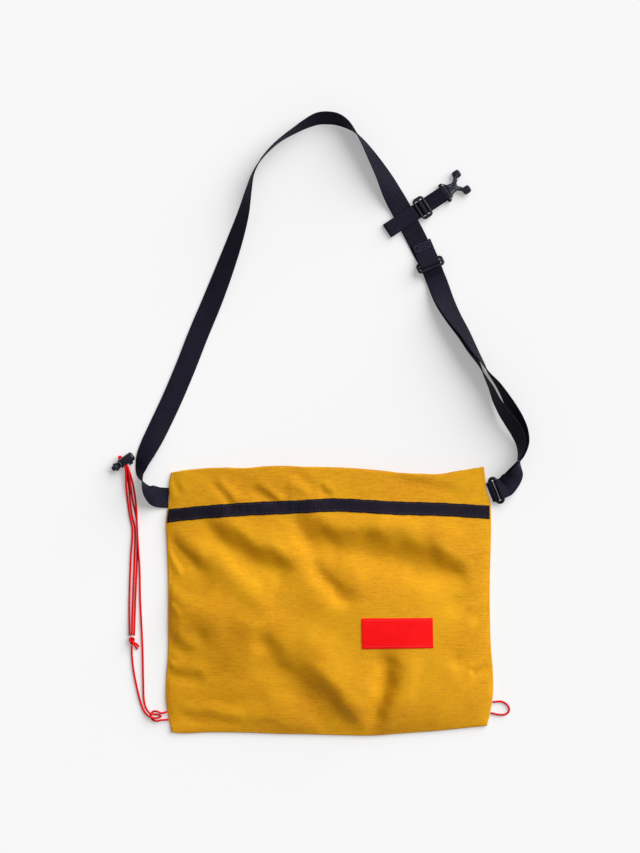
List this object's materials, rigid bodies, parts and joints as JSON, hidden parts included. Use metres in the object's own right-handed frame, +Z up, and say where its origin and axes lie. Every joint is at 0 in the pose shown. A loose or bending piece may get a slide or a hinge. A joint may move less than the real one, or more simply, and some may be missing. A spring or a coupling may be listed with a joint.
{
  "type": "cycling musette bag",
  "caption": "Flat cloth shoulder bag with an open mouth, webbing strap with slider and ring, short stabiliser strap and elastic cord.",
  "frame": {"origin": "middle of the back panel's flat underside, on which the bag lies", "axes": "+X across the bag to the ring's side, +Y from the bottom fold towards the mouth and the strap, +Z up through the front panel"},
  "size_m": [0.4105, 0.613, 0.0232],
  "materials": {
    "cloth": "matt slub-woven mustard canvas",
    "tape": "matt ribbed navy tape",
    "label": "fine woven red label, bare",
    "webbing": "satin woven webbing",
    "plastic": "moulded satin acetal",
    "elastic": "braided elastic cord"
  },
  "bodies": {
    "bag": {"bag_back": "cloth", "bag_front": "cloth", "opening_tape": "tape", "label": "label", "shoulder_strap": "webbing", "strap_slider": "plastic", "strap_ring": "plastic", "ring_tab": "webbing", "stabiliser_strap": "webbing", "stabiliser_slider": "plastic", "buckle_half": "plastic", "cord_lock_barrel": "plastic", "lock_cord_long": "elastic", "lock_cord_short": "elastic", "seam_cord_left": "elastic", "seam_cord_right": "elastic", "cord_knot": "elastic"},
    "lock_plunger": {"cord_lock_plunger": "plastic"}
  },
  "joints": [
    {"name": "lock_press", "type": "slide", "parent": "bag", "child": "lock_plunger", "axis": [0.8241, 0.5664, 0], "range_m": [0, 0.003], "stiffness_N_per_m": 1200, "springref_m": -0.001}
  ]
}
